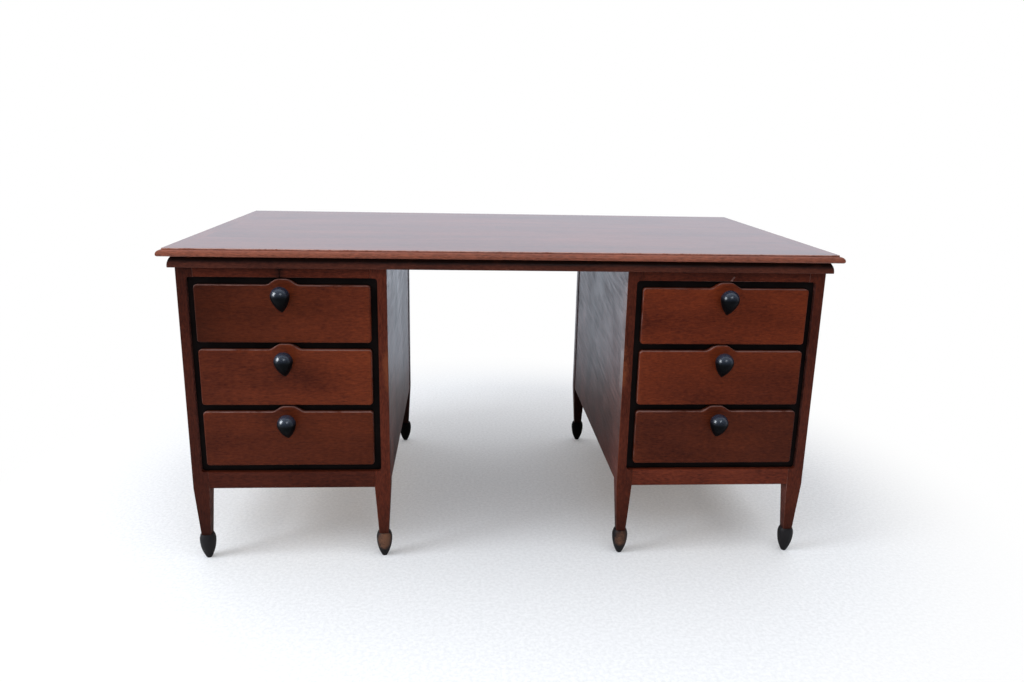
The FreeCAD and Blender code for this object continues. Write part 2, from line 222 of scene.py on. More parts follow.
def copyPiece(piece, name, place=(0, 0, 0), turn=0, mirrored=False):
    choose(piece)
    bpy.ops.object.duplicate()
    twin = bpy.context.object
    twin.location = place
    twin.rotation_euler.z = math.radians(turn)
    if mirrored:
        twin.scale.x = -1
    settle(name)
    if mirrored:  # the mirror turned the faces inside out
        inEdit(twin, faceOutwards)
    return twin


def discard(piece):
    bpy.data.objects.remove(piece, do_unlink=True)


def mark(piece, label, amount):  # how rubbed, grimy or polished each point is, or how much painted shade it takes, if not more so already
    attributes = piece.data.attributes
    layer = attributes[label] if label in attributes else attributes.new(label, "FLOAT", "POINT")
    for vertex in piece.data.vertices:
        here = layer.data[vertex.index]
        here.value = max(here.value, amount(vertex.co, vertex.normal))


def between(first, second):  # 1 half way between two directions, 0 along either
    small, large = sorted((abs(first), abs(second)))
    return small / large if large > 0 else 0


def ramp(value, low, high):
    return min(1, max(0, (value - low) / (high - low)))


def cornersOf(piece):
    return Vector(piece.bound_box[0]), Vector(piece.bound_box[6])


def boxOf(node):
    low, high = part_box(node)
    return Vector(low), Vector(high)


def dress(piece, *materials):
    piece.data.materials.clear()
    for material in materials:
        piece.data.materials.append(material)


def fit(piece, body, slot, *replaced):
    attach(piece, body)
    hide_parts(*replaced)


def facePlace(node, face, ball=0):  # middle of the outer face at its foot, or centre of a ball at its top
    low, high = boxOf(node)
    outer = low.y + ball if face == "front" else high.y - ball
    return (low.x + high.x) / 2, outer, high.z - ball if ball else low.z


def onDrawers(pattern, ending, newEnding, slot, ball=0):  # a copy on every drawer
    copies = {}
    for name, face in drawers:
        node = f"{name}_drawer_{ending}"
        piece = copyPiece(pattern, f"{name}_drawer_{newEnding}", facePlace(node, face, ball), faceTurn[face])
        fit(piece, name + "_drawer", slot, node)
        copies[name] = piece
    discard(pattern)
    return copies


def arcPoints(centre, radius, start, end, steps):
    angles = [math.radians(start + (end - start) * i / steps) for i in range(steps + 1)]
    return [(centre[0] + radius * math.cos(a), centre[1] + radius * math.sin(a)) for a in angles]


def roundTo(tip, end, steps):  # an arc that leaves the tip upright and ends at the other point
    across, rise = end[0] - tip[0], end[1] - tip[1]
    radius = -(across ** 2 + rise ** 2) / (2 * across)
    return arcPoints((tip[0] - radius, tip[1]), radius, 0, math.degrees(math.asin(rise / radius)), steps)


# shader building

def newMaterial(name):
    material = bpy.data.materials.new(name)
    material.use_nodes = True
    return material, material.node_tree, material.node_tree.nodes["Principled BSDF"]


def feed(socket, value):  # a link, or a plain value
    if isinstance(value, bpy.types.NodeSocket):
        socket.id_data.links.new(value, socket)
    elif isinstance(value, tuple) and socket.type == "RGBA":
        socket.default_value = (*value, 1)
    else:
        socket.default_value = value


def fill(node, inputs):
    for label, value in inputs.items():
        feed(node.inputs[label], value)


def addNode(tree, kind, inputs=None, **values):  # gives back the outputs of the new node
    node = tree.nodes.new(kind)
    for key, value in values.items():
        setattr(node, key, value)
    fill(node, inputs or {})
    return node.outputs


def treeOf(*values):  # of the first socket among them
    return next(value for value in values if isinstance(value, bpy.types.NodeSocket)).id_data


def objectPlace(tree):
    return addNode(tree, "ShaderNodeTexCoord")["Object"]


def attribute(tree, label):
    return addNode(tree, "ShaderNodeAttribute", attribute_name=label)["Fac"]


def axisOf(vector, axis):
    return addNode(vector.id_data, "ShaderNodeSeparateXYZ", {0: vector})[axis]


def turned(vector, turn, place=(0, 0, 0)):
    inputs = {"Vector": vector, "Rotation": turn, "Location": place}
    return addNode(vector.id_data, "ShaderNodeMapping", inputs)[0]


def noise(vector, factors, detail=2.0, roughness=0.5, distortion=0.0):  # factors: how fine on x, y and z
    fine = addNode(vector.id_data, "ShaderNodeVectorMath", {0: vector, 1: factors}, operation="MULTIPLY")[0]
    inputs = {"Vector": fine, "Scale": 1.0, "Detail": detail, "Roughness": roughness, "Distortion": distortion}
    return addNode(vector.id_data, "ShaderNodeTexNoise", inputs)[0]


def maths(operation, first, second):
    return addNode(treeOf(first, second), "ShaderNodeMath", {0: first, 1: second}, operation=operation)[0]


def plus(first, second):
    return maths("ADD", first, second)


def minus(first, second):
    return maths("SUBTRACT", first, second)


def times(first, second):
    return maths("MULTIPLY", first, second)


def larger(first, second):
    return maths("MAXIMUM", first, second)


def weigh(value, weight):  # noise about nothing, times a weight
    return times(minus(value, 0.5), weight)


def spread(value, low, high, toLow=0.0, toHigh=1.0, kind="LINEAR"):
    inputs = {"Value": value, "From Min": low, "From Max": high, "To Min": toLow, "To Max": toHigh}
    return addNode(value.id_data, "ShaderNodeMapRange", inputs, interpolation_type=kind)[0]


def mixColour(factor, first, second, blend="MIX"):
    inputs = {0: factor, 6: first, 7: second}  # the colour sockets of the mix
    tree = treeOf(factor, first, second)
    return addNode(tree, "ShaderNodeMix", inputs, data_type="RGBA", blend_type=blend)[2]


def shadeBy(colour, value):  # darker or paler by a value
    return mixColour(1.0, colour, value, "MULTIPLY")


def newGroup(name, inputs, outputs):  # socket names for each kind
    tree = bpy.data.node_groups.new(name, "ShaderNodeTree")
    for way, sockets in (("INPUT", inputs), ("OUTPUT", outputs)):
        for kind, labels in sockets.items():
            for label in labels.split():
                tree.interface.new_socket(name=label, in_out=way, socket_type="NodeSocket" + kind)
    return tree, tree.nodes.new("NodeGroupInput").outputs, tree.nodes.new("NodeGroupOutput")


def placeGroup(group, inputs):
    return addNode(inputs["Vector"].id_data, "ShaderNodeGroup", inputs, node_tree=group)


# shared effects; a noise has its fineness along and across the grain, detail, roughness and distortion

grainPattern = {
    "layers": {
        "bands": ((1.3, 13, 13), 4, 0.55, 0.6),
        "streaks": ((75, 280, 280), 3, 0.6, 0.3),
        "fibres": ((90, 480, 480), 2, 0.6),
        "clouds": ((4.5, 7, 7), 1, 0.5, 0.4),
        "mottle": ((110, 150, 150), 3, 0.65, 0.5),
        "specks": ((70, 1500, 1500), 1),
    },
    "weights": (  # what each layer gives to the tone, and the input that scales it
        ("bands", 2.4, "Figure"), ("streaks", 2.0, "Streak"), ("fibres", 1.4, "Streak"),
        ("clouds", 2.4, "Cloud"), ("mottle", 1.2, "Cloud"),
    ),
    "toneRange": (-0.5, 0.5), "poreRange": (0.6, 0.72), "poreColour": (0.012, 0.004, 0.003),
    "fibreRise": 0.5, "poreDepth": 0.6, "streakRise": 0.35,
}


def makeWoodGrain(pattern):
    tree, given, result = newGroup(
        "woodGrain", {"Vector": "Vector", "Color": "Dark Light", "Float": "Figure Streak Cloud Pores"},
        {"Color": "Color", "Float": "Height"})
    layers = {label: noise(given["Vector"], *values) for label, values in pattern["layers"].items()}
    parts = [times(weigh(layers[label], weight), given[scale]) for label, weight, scale in pattern["weights"]]
    tone = parts[0]
    for part in parts[1:]:
        tone = plus(tone, part)
    colour = mixColour(spread(tone, *pattern["toneRange"]), given["Dark"], given["Light"])
    pores = spread(layers["specks"], *pattern["poreRange"])
    rise = minus(times(layers["fibres"], pattern["fibreRise"]), times(pores, pattern["poreDepth"]))
    fill(result, {
        "Color": mixColour(times(pores, given["Pores"]), colour, pattern["poreColour"]),
        "Height": plus(rise, times(layers["streaks"], pattern["streakRise"])),
    })
    return tree


wearPattern = {
    "patches": ((28, 28, 28), 4, 0.6), "nicks": ((260, 260, 260), 2),
    "patchWeight": 2.6, "nickWeight": 1.2, "wearRange": (0.35, 0.95),
    "dirtAndShadeWeight": 1.4, "dirtAndShadeRange": (0.1, 0.9, 0.0, 0.9), "dirtAndShadeColour": (0.007, 0.0032, 0.0025),
}


def makeEdgeWear(pattern):
    tree, given, result = newGroup(
        "edgeWear", {"Vector": "Vector", "Color": "Color Worn", "Float": "Wear Strength Grime"},
        {"Color": "Color", "Float": "Mask"})
    patches, nicks = (noise(given["Vector"], *pattern[label]) for label in ("patches", "nicks"))
    uneven = plus(weigh(patches, pattern["patchWeight"]), weigh(nicks, pattern["nickWeight"]))
    level = times(given["Wear"], plus(uneven, 1.0))
    mask = times(spread(level, *pattern["wearRange"]), given["Strength"])
    rubbed = mixColour(mask, given["Color"], given["Worn"])
    # real grime, and painted shade in hollows under overhangs, both darken towards this colour
    dirt = times(given["Grime"], plus(weigh(patches, pattern["dirtAndShadeWeight"]), 1.0))
    dirtyAndShaded = mixColour(spread(dirt, *pattern["dirtAndShadeRange"]), rubbed, pattern["dirtAndShadeColour"])
    fill(result, {"Color": dirtyAndShaded, "Mask": mask})
    return tree


marksPattern = {
    "broad": ((5, 5, 5), 3, 0.55, 0.5), "fine": ((12, 90, 90), 3, 0.6),
    "strokes": ((7, 190, 190), 4, 0.65, 0.6), "thin": ((25, 240, 240), 4, 0.7, 1.2),
    "broadRough": 1.4, "fineRough": 0.8, "rubRange": (0.6, 0.8), "rubPlaces": (0.45, 0.7),
    "broadPolish": 0.8, "strokePolish": 1.2, "polishRange": (-0.25, 0.25),
}


def makeUseMarks(pattern):  # dulled and polished patches, wiped strokes, faint rubs
    tree, given, result = newGroup(
        "useMarks", {"Vector": "Vector", "Float": "Base Change"}, {"Float": "Roughness Rubs Polish"})
    broad, fine, strokes, thin = (
        noise(given["Vector"], *pattern[label]) for label in ("broad", "fine", "strokes", "thin"))
    rough = plus(weigh(broad, pattern["broadRough"]), weigh(fine, pattern["fineRough"]))
    polish = plus(weigh(broad, pattern["broadPolish"]), weigh(strokes, pattern["strokePolish"]))
    fill(result, {
        "Roughness": plus(times(rough, given["Change"]), given["Base"]),
        "Rubs": times(spread(thin, *pattern["rubRange"]), spread(broad, *pattern["rubPlaces"])),
        "Polish": spread(polish, *pattern["polishRange"]),
    })
    return tree


woodGrain = makeWoodGrain(grainPattern)
edgeWear = makeEdgeWear(wearPattern)
useMarks = makeUseMarks(marksPattern)


# materials

grainTurn = {"x": (0, 0, 0), "y": (0, 0, math.radians(-90)), "z": (0, math.radians(90), 0)}  # grain along an axis
grainStep = (0.731, 0.417, 0.293)  # from one piece of wood to the next


def bumpFrom(finish, height):
    inputs = {"Strength": finish["bump"], "Distance": finish["bumpDepth"], "Height": height}
    return addNode(height.id_data, "ShaderNodeBump", inputs)[0]


def woodMaterial(name, finish, along="x", shift=0, tone=1.0, warm=1.0, fade=None):
    material, tree, shader = newMaterial(name)
    place = objectPlace(tree)
    vector = turned(place, grainTurn[along], tuple(shift * step for step in grainStep))
    tint = (tone * warm, tone, tone / warm)
    grain = placeGroup(woodGrain, {
        "Vector": vector,
        "Dark": tuple(c * t for c, t in zip(finish["dark"], tint)),
        "Light": tuple(c * t for c, t in zip(finish["light"], tint)),
        "Figure": finish["figure"], "Streak": finish["streak"], "Cloud": finish["cloud"], "Pores": finish["pores"],
    })
    colour = grain["Color"]
    if fade:  # paler or darker towards each end: painted light falling off towards the pedestal's ends, with the wood's own uneven tone
        colour = shadeBy(colour, spread(axisOf(place, "X"), *fade))
    wiped = turned(vector, finish["wipe"])
    marks = placeGroup(useMarks, {"Vector": wiped, "Base": finish["rough"], "Change": finish["roughChange"]})
    if "strokes" in finish:  # darker and paler strokes of the cloth
        colour = shadeBy(colour, spread(marks["Polish"], 0.0, 1.0, *finish["strokes"]))
    worn = placeGroup(edgeWear, {
        "Vector": vector, "Color": mixColour(times(marks["Rubs"], finish["rubs"]), colour, finish["worn"]),
        "Worn": finish["worn"], "Strength": finish["wear"],
        "Wear": attribute(tree, "wear"), "Grime": attribute(tree, "grime"),
    })
    coat = spread(marks["Polish"], 0.0, 1.0, *finish["coat"])
    if "sheenShadeFade" in finish:  # less coat low down: the sheen is faded there as painted shade, for the shaded floor it mirrors
        coat = times(coat, spread(axisOf(place, "Z"), *finish["sheenShadeFade"]))
    fill(shader, {
        "Base Color": worn["Color"], "Roughness": plus(marks["Roughness"], times(worn["Mask"], finish["wornRough"])),
        "Specular IOR Level": finish["specular"], "Normal": bumpFrom(finish, grain["Height"]),
        "Coat Weight": coat, "Coat Roughness": finish["coatRough"],
    })
    return material


frontFinish = {  # drawer fronts
    "dark": (0.042, 0.0072, 0.0036), "light": (0.158, 0.0298, 0.0094),
    "figure": 0.24, "streak": 0.44, "cloud": 0.44, "pores": 0.6,
    "rough": 0.4, "roughChange": 0.12, "wornRough": 0.15, "specular": 0.07,
    "bump": 0.12, "bumpDepth": 0.0006, "coat": (0.0, 0.04), "coatRough": 0.3,
    "worn": (0.25, 0.135, 0.115), "wear": 0.75, "rubs": 0.1, "wipe": (0, 0, 0),
}
frameFinish = dict(  # legs and rails
    frontFinish, dark=(0.034, 0.006, 0.003), light=(0.098, 0.0188, 0.0082), cloud=0.5, streak=0.75, specular=0.08)
mouldingFinish = dict(frameFinish, dark=(0.04, 0.0095, 0.0055), light=(0.1, 0.026, 0.0145), specular=0.12)
boardFinish = dict(  # board of the writing top, polished
    frontFinish, dark=(0.062, 0.0148, 0.0085), light=(0.205, 0.0555, 0.033), figure=0.5, cloud=0.25, streak=0.62,
    rough=0.3, roughChange=0.03, specular=0.32, coat=(0.42, 0.5), coatRough=0.22, bump=0.015, rubs=0.0)
litNoseFinish = dict(  # rounded edge of the top: a paler copy of the board's wood, painted light on its up-facing round; its pale worn colour on the top arris is partly a painted highlight
    frontFinish, dark=(0.13, 0.034, 0.0175), light=(0.285, 0.082, 0.044), cloud=0.4, streak=0.9, rough=0.36,
    specular=0.3, worn=(0.55, 0.33, 0.28), wear=0.7)
panelFinish = dict(  # pedestal sides, wiped with a cloth, with their sheen faded low down as painted shade
    frontFinish, dark=(0.045, 0.015, 0.011), light=(0.14, 0.048, 0.037), figure=0.25, cloud=0.6, rough=0.36,
    specular=0.02, bump=0.2, coat=(0.1, 0.9), coatRough=0.22, worn=(0.2, 0.15, 0.14), rubs=0.6,
    strokes=(0.45, 1.5), wipe=(0, 0, math.radians(-81)), sheenShadeFade=(0.22, 0.66, 0.1, 0.95))
boxFinish = dict(  # drawer sides and bottoms, bare oak
    frontFinish, dark=(0.27, 0.16, 0.078), light=(0.5, 0.335, 0.19), rough=0.62, specular=0.2, figure=0.5,
    worn=(0.2, 0.12, 0.07), wear=0.5, coat=(0.0, 0.02))
carcaseFinish = dict(  # hidden boards and runners, bare softwood
    boxFinish, dark=(0.27, 0.16, 0.075), light=(0.48, 0.32, 0.17), rough=0.68, figure=0.7)


def blackMaterial(name, finish):
    material, tree, shader = newMaterial(name)
    vector = objectPlace(tree)
    marks = placeGroup(useMarks, {"Vector": vector, "Base": finish["rough"], "Change": finish["roughChange"]})
    patches = spread(noise(vector, *finish["patches"]), *finish["patchRange"])
    colour = mixColour(patches, finish["dark"], finish["light"])
    if "shadeColour" in finish:  # darker where it faces down: painted shade
        colour = mixColour(attribute(tree, "polish"), finish["shadeColour"], colour)
    worn = placeGroup(edgeWear, {
        "Vector": vector, "Color": colour, "Worn": finish["worn"], "Strength": finish["wear"],
        "Wear": attribute(tree, "wear"),
    })
    fill(shader, {
        "Base Color": worn["Color"], "Roughness": marks["Roughness"], "Specular IOR Level": finish["specular"],
        "Normal": bumpFrom(finish, noise(vector, *finish["fibres"])),
    })
    if "coatIor" in finish:
        fill(shader, {
            "Coat Weight": attribute(tree, "polish"), "Coat Roughness": finish["coatRough"],
            "Coat IOR": finish["coatIor"],
        })
    return material


surroundFinish = {
    "dark": (0.0042, 0.0024, 0.0021), "light": (0.0095, 0.0058, 0.005), "worn": (0.05, 0.022, 0.014),
    "patches": ((14, 14, 14), 3), "patchRange": (0.3, 0.7), "fibres": ((90, 700, 700), 2),
    "rough": 0.5, "roughChange": 0.1, "specular": 0.06, "bump": 0.1, "bumpDepth": 0.0005, "wear": 0.3,
}
# the knob's bluish dark and light colours are partly a painted reflection of the cool window light; its near-black
# colour below is painted shade
knobFinish = dict(
    surroundFinish, dark=(0.0125, 0.0192, 0.034), light=(0.019, 0.0285, 0.048), shadeColour=(0.0022, 0.0023, 0.0025),
    rough=0.4, specular=0.04, bump=0.03, wear=0.0, coatRough=0.24, coatIor=2.0)
footFinish = dict(
    surroundFinish, dark=(0.008, 0.007, 0.0075), light=(0.017, 0.015, 0.0155), rough=0.45, specular=0.15,
    worn=(0.18, 0.08, 0.044), wear=0.85)
# rear feet: the same black made darker and duller, as painted shade under the desk
shadedRearFootFinish = dict(footFinish, dark=(0.0022, 0.0021, 0.0022), light=(0.0045, 0.0042, 0.0043), specular=0.03)
steelFinish = {
    "spots": ((400, 400, 400), 4, 0.65), "spotRange": (0.4, 0.7), "roughRange": (0.3, 0.7, 0.3, 0.65),
    "bright": (0.42, 0.4, 0.37), "dull": (0.2, 0.14, 0.1), "metallic": 0.85,
}


def steelMaterial(name, finish):
    material, tree, shader = newMaterial(name)
    spots = noise(objectPlace(tree), *finish["spots"])
    fill(shader, {
        "Base Color": mixColour(spread(spots, *finish["spotRange"]), finish["bright"], finish["dull"]),
        "Roughness": spread(spots, *finish["roughRange"]), "Metallic": finish["metallic"],
    })
    return material


boardWood = woodMaterial("writingBoardWood", boardFinish)
panelWood = woodMaterial("sidePanelWood", panelFinish, along="z")
carcaseWood = woodMaterial("carcaseSoftwood", carcaseFinish, along="y", shift=2)
surroundBlack = blackMaterial("surroundBlack", surroundFinish)
screwSteel = steelMaterial("screwSteel", steelFinish)
print("materials made")


# CAD pieces that stay as they are

keptFinish = {
    "top_panel": boardWood, "_side_panel": panelWood, "_surrounds": surroundBlack, "_battens": carcaseWood,
    "_pegs": carcaseWood, "_boards": carcaseWood, "_partitions": carcaseWood, "_runners": carcaseWood,
    "_screws": screwSteel,
}
for name, piece in nodes.items():
    for ending, finish in keptFinish.items():
        if name.endswith(ending):
            dress(piece, finish)


# drawer fronts

drawerFront = {
    "corner": 0.007, "cornerSteps": 6, "roundOver": 0.004, "roundSteps": 7, "faceRing": 0.003,
    "humpWidth": 0.081, "humpFlat": 0.013, "humpRise": 0.014, "crownBlend": 0.025, "footBlend": 0.02, "humpSteps": 9,
    "knobHole": 0.0061, "knobBelowEdge": 0.0195,
    "rubRange": (0.55, 0.9), "rubAll": 0.6, "highlightUpward": 0.4, "grainShift": 0.7,
    "tones": {  # how pale and how orange each front is, and its paleness at the left and right end, which is painted light falling off towards the pedestal's ends along with the wood's own uneven tone
        "left_front_top": (0.88, 1.0, 0.44, 1.36), "left_front_middle": (1.04, 1.0, 0.92, 1.1),
        "left_front_bottom": (0.82, 1.0, 1.04, 0.88), "right_front_top": (1.06, 1.1, 1.06, 1.06),
        "right_front_middle": (1.0, 1.07, 1.12, 0.92), "right_front_bottom": (0.84, 0.97, 1.06, 0.96),
        "left_rear_top": (0.95, 1.03, 1.0, 1.1), "left_rear_middle": (0.88, 1.0, 1.1, 0.95),
        "left_rear_bottom": (1.0, 1.03, 1.0, 1.0), "right_rear_top": (0.9, 1.02, 0.95, 1.05),
        "right_rear_middle": (0.97, 1.0, 1.0, 1.0), "right_rear_bottom": (0.84, 1.03, 1.05, 0.95),
    },
}


def frontOutline(half, height, front):  # (x, z), anticlockwise from the right end of the bottom edge
    corner, steps, turns = front["corner"], front["cornerSteps"], front["humpSteps"]
    crown, hollow, rise = front["crownBlend"], front["footBlend"], front["humpRise"]
    foot, flat = front["humpWidth"] / 2, front["humpFlat"] / 2
    run, spare = foot - flat, crown + hollow - rise
    sweep = math.degrees(math.asin((crown + hollow) / math.hypot(run, spare)) - math.atan2(spare, run))
    points = arcPoints((half - corner, corner), corner, -90, 0, steps)
    points += arcPoints((half - corner, height - corner), corner, 0, 90, steps)
    points += arcPoints((foot, height + hollow), hollow, -90, -90 - sweep, turns)
    points += arcPoints((flat, height + rise - crown), crown, 90 - sweep, 90, turns)
    return points + [(-x, z) for x, z in reversed(points)]


def makeDrawerFront(front):
    low, high = boxOf("left_front_bottom_drawer_front")
    half, height = (high.x - low.x) / 2, high.z - low.z - front["humpRise"]
    thickness = high.y - low.y
    panel = traceLine("drawerFront", [(x, 0, z) for x, z in frontOutline(half, height, front)])
    bpy.ops.mesh.edge_face_add()
    pushOut(0, thickness, 0)
    faceOutwards()
    bevelWhere(panel, lambda a, b: max(a.y, b.y) < hair, front["roundOver"], front["roundSteps"])
    pick(panel, "FACE", lambda centre, normal: normal.y < hair - 1)  # only the flat
    bpy.ops.mesh.inset(thickness=front["faceRing"])
    leaveEdit()
    knobLevel = height - front["knobBelowEdge"]
    drill(panel, (0, -overshoot, knobLevel), (0, thickness + overshoot, knobLevel), front["knobHole"])
    smoothShade(panel)

    def rubbed(co, normal):  # worn pale on every edge; more on edges that face up, as a painted highlight, and least on those that face down
        atHole = math.hypot(co.x, co.z - knobLevel) < front["knobHole"] * within
        if atHole or co.y > front["roundOver"] * within:
            return 0
        sideways = ramp(math.hypot(normal.x, normal.z), *front["rubRange"])
        return sideways * (front["rubAll"] + front["highlightUpward"] * normal.z)

    mark(panel, "wear", rubbed)
    return panel


for name, piece in onDrawers(makeDrawerFront(drawerFront), "front", "panel", "mahogany").items():
    low, high = boxOf(name + "_drawer_front")
    tone, warm, leftEnd, rightEnd = drawerFront["tones"][name]
    shift = len(bpy.data.materials) * drawerFront["grainShift"]
    fade = (low.x, high.x, leftEnd, rightEnd)
    dress(piece, woodMaterial(f"{name}_wood", frontFinish, "x", shift, tone, warm, fade))
print("drawer fronts made")


# knobs

knob = {
    "ball": 0.0215, "tip": 0.002, "tipDrop": 0.038, "tipBack": 0.0145, "sideAngle": 12,
    "standOff": 0.026, "neck": 0.0085, "spigot": 0.006, "spigotLength": 0.016,
    "around": 48, "ballSteps": 16, "sideSteps": 16, "tipSteps": 5,
    "leastGlossAndLight": 0.02, "polishRange": (-0.05, 0.7),
}


def makeKnob(knob):
    ball, tip, sideAngle = knob["ball"], knob["tip"], knob["sideAngle"]
    reach = math.hypot(knob["tipDrop"], knob["tipBack"])
    leaving = math.radians(sideAngle)
    narrowing = ball - tip
    arm = (reach ** 2 - narrowing ** 2) / (2 * (narrowing - reach * math.sin(leaving)))
    middle = (-arm * math.cos(leaving), arm * math.sin(leaving))
    arriving = math.degrees(math.atan2(reach + middle[1], -middle[0]))
    profile = arcPoints((0, 0), ball, 90, -sideAngle, knob["ballSteps"])
    profile += arcPoints(middle, arm + ball, -sideAngle, -arriving, knob["sideSteps"])[1:]
    profile += arcPoints((0, -reach), tip, -arriving, -90, knob["tipSteps"])[1:]
    drop = turnProfile("knob", profile, knob["around"])
    turnPiece(drop, (math.atan2(knob["tipBack"], knob["tipDrop"]), 0, 0))  # leans its tip to the drawer
    neck = addRod("neck", (0, 0, 0), (0, knob["standOff"], 0), knob["neck"])
    pick(neck, "FACE", lambda centre, normal: normal.y > facing)  # its end at the drawer
    bpy.ops.mesh.inset(thickness=knob["neck"] - knob["spigot"])
    pushOut(0, knob["spigotLength"], 0)
    leaveEdit()
    combine(drop, neck, "UNION")
    inEdit(drop, mergeClose)  # the cut leaves points almost together
    smoothShade(drop)
    least = knob["leastGlossAndLight"]  # dull below, and darker there as painted shade
    mark(drop, "polish", lambda co, normal: least + (1 - least) * ramp(normal.z, *knob["polishRange"]))
    return drop


knobPattern = makeKnob(knob)
dress(knobPattern, blackMaterial("knobLacquer", knobFinish))
onDrawers(knobPattern, "knob", "drop_knob", "ebonised_wood", knob["ball"])
print("knobs made")


# feet

foot = {
    "height": 0.064, "belly": 0.0192, "bellyHeight": 0.049, "toe": 0.006, "top": 0.01564,
    "spigot": 0.006, "spigotLength": 0.028, "around": 40, "steps": 14,
    "rub": 0.2, "rubRange": (0.012, 0.03), "wornFeet": {"left_inner_front": 0.85, "right_inner_front": 0.6},
}
legPlaces = {"x": (-0.215, 0.215), "y": (-0.389, 0.389)}  # leg centres, from the middle of a pedestal
pedestalMiddle = {side: sum(c[0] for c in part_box(f"{side}_legs")) / 2 for side in sides}


def makeFoot(foot):
    belly, toe = (foot["belly"], foot["bellyHeight"]), (foot["toe"], 0)
    height, spigot = foot["height"], foot["spigot"]
    spigotTop = height + foot["spigotLength"]
    profile = [(0, 0)] + roundTo(belly, toe, foot["steps"])[::-1]
    profile += roundTo(belly, (foot["top"], height), foot["steps"])[1:]
    profile += [(spigot, height), (spigot, spigotTop), (0, spigotTop)]
    bud = turnProfile("foot", profile, foot["around"])
    smoothShade(bud)
    return bud


footPattern = makeFoot(foot)
footBlack = {
    "front": blackMaterial("frontFootBlack", footFinish), "rear": blackMaterial("rearFootShadedBlack", shadedRearFootFinish),
}
for side in sides:
    for x in legPlaces["x"]:
        for y in legPlaces["y"]:
            face = "front" if y < 0 else "rear"
            name = f"{side}_{'inner' if x * pedestalMiddle[side] < 0 else 'outer'}_{face}"
            piece = copyPiece(footPattern, name + "_bud_foot", (pedestalMiddle[side] + x, y, 0))
            dress(piece, footBlack[face])
            rub = foot["wornFeet"].get(name, foot["rub"])
            mark(piece, "wear", lambda co, normal: rub * max(0, -normal.y) * ramp(co.z, *foot["rubRange"]))
            fit(piece, "carcase", "ebonised_wood", f"{side}_feet")
discard(footPattern)
print("feet made")


# legs

leg = {
    "size": 0.038, "toe": 0.023, "arris": 0.0015, "arrisSteps": 4, "socket": 0.0061, "socketDepth": 0.028,
    "rub": 0.8, "grime": 0.5, "grainShift": 0.6,
    # how pale each leg is; the inner rear legs are darkened as painted shade under the desk
    "tones": {
        "left_left_front": 0.7, "left_right_front": 1.3, "right_left_front": 1.05, "right_right_front": 1.0,
        "left_right_rear": 0.3, "right_left_rear": 0.3,
    },
    "slices": (0.4, 0.44, 0.46, 0.48, 0.5, 0.52, 0.54, 0.56, 0.6),
    "rubbedStiles": {  # rubbed by a chair: height of the patch, half its length, how much, colour
        "names": ("left_right_front", "right_left_front"),
        "level": 0.49, "reach": 0.1, "rub": 1.3, "worn": (0.19, 0.048, 0.017), "strength": 0.6,
    },
    "copies": (  # place in the pedestal, turn, mirrored
        ("left_front", 0, False), ("right_front", 0, True), ("right_rear", 180, False), ("left_rear", 180, True),
    ),
}
recess = {"depth": 0.022, "corner": 0.008, "cornerSteps": 8}


def makeLeg(leg, opening):  # left front leg of a pedestal that stands over the origin
    legsLow, legsHigh = boxOf("left_legs")
    holeLow, holeHigh = boxOf("left_drawer_surrounds")
    toeLevel, top, taperLevel = legsLow.z, legsHigh.z, boxOf("left_rails")[0].z
    x, y = legPlaces["x"][0], legPlaces["y"][0]
    half, holeHalf = leg["size"] / 2, (holeHigh.x - holeLow.x) / 2
    post = addBlock("leg", (x - half, y - half, taperLevel), (x + half, y + half, top))
    pick(post, "FACE", lambda centre, normal: normal.z < -facing)
    pushOut(0, 0, toeLevel - taperLevel)
    narrow = leg["toe"] / leg["size"]
    bpy.ops.transform.resize(value=(narrow, narrow, 1), center_override=(x, y, toeLevel))
    bevelWhere(post, lambda a, b: abs(a.z - b.z) > longEdge, leg["arris"], leg["arrisSteps"])
    face = y - half
    cutter = addBlock(
        "recess", (-holeHalf, face - overshoot, holeLow.z), (holeHalf, face + opening["depth"], holeHigh.z))
    bevelWhere(cutter, lambda a, b: abs(a.y - b.y) > hair, opening["corner"], opening["cornerSteps"])
    combine(post, cutter, "DIFFERENCE")
    drill(post, (x, y, toeLevel - overshoot), (x, y, toeLevel + leg["socketDepth"]), leg["socket"])
    slicePiece(post, (0, 0, 1), [(x, y, level) for level in leg["slices"]])
    smoothShade(post, angle=30)

    def rubbed(co, normal):  # only the outer arrises
        here = half * (narrow + (1 - narrow) * ramp(co.z, toeLevel, taperLevel))
        edge = max(abs(abs(co.x - x) - here), abs(abs(co.y - y) - here))
        return between(normal.x, normal.y) * leg["rub"] if edge < leg["arris"] * within else 0

    mark(post, "wear", rubbed)
    mark(post, "grime", lambda co, normal: leg["grime"] if co.z < toeLevel + slack else 0)
    return post


def rubStile(piece, side, patch):  # on the edge beside the knee hole
    low, high = cornersOf(piece)
    middle = (low.x + high.x) / 2
    edge = leg["size"] / 2 - leg["arris"] * within

    def rubbed(co, normal):
        inward = middle - co.x if side == "right" else co.x - middle
        near = ramp(patch["reach"] - abs(co.z - patch["level"]), 0, patch["reach"])
        return patch["rub"] * near if inward > edge else 0

    mark(piece, "wear", rubbed)
    return dict(frameFinish, worn=patch["worn"], wear=patch["strength"])


legPattern = makeLeg(leg, recess)
for side in sides:
    for spot, turn, mirrored in leg["copies"]:
        name = f"{side}_{spot}"
        piece = copyPiece(legPattern, name + "_leg", (pedestalMiddle[side], 0, 0), turn, mirrored)
        finish = frameFinish
        if name in leg["rubbedStiles"]["names"]:
            finish = rubStile(piece, side, leg["rubbedStiles"])
        shift, tone = len(bpy.data.materials) * leg["grainShift"], leg["tones"].get(name, 1.0)
        dress(piece, woodMaterial(name + "_legWood", finish, "z", shift, tone), panelWood)
        for face in piece.data.polygons:  # the sides are polished like the panels between them
            face.material_index = 1 if abs(face.normal.x) > facing else 0
        fit(piece, "carcase", "mahogany", f"{side}_legs")
discard(legPattern)
print("legs made")


# rails

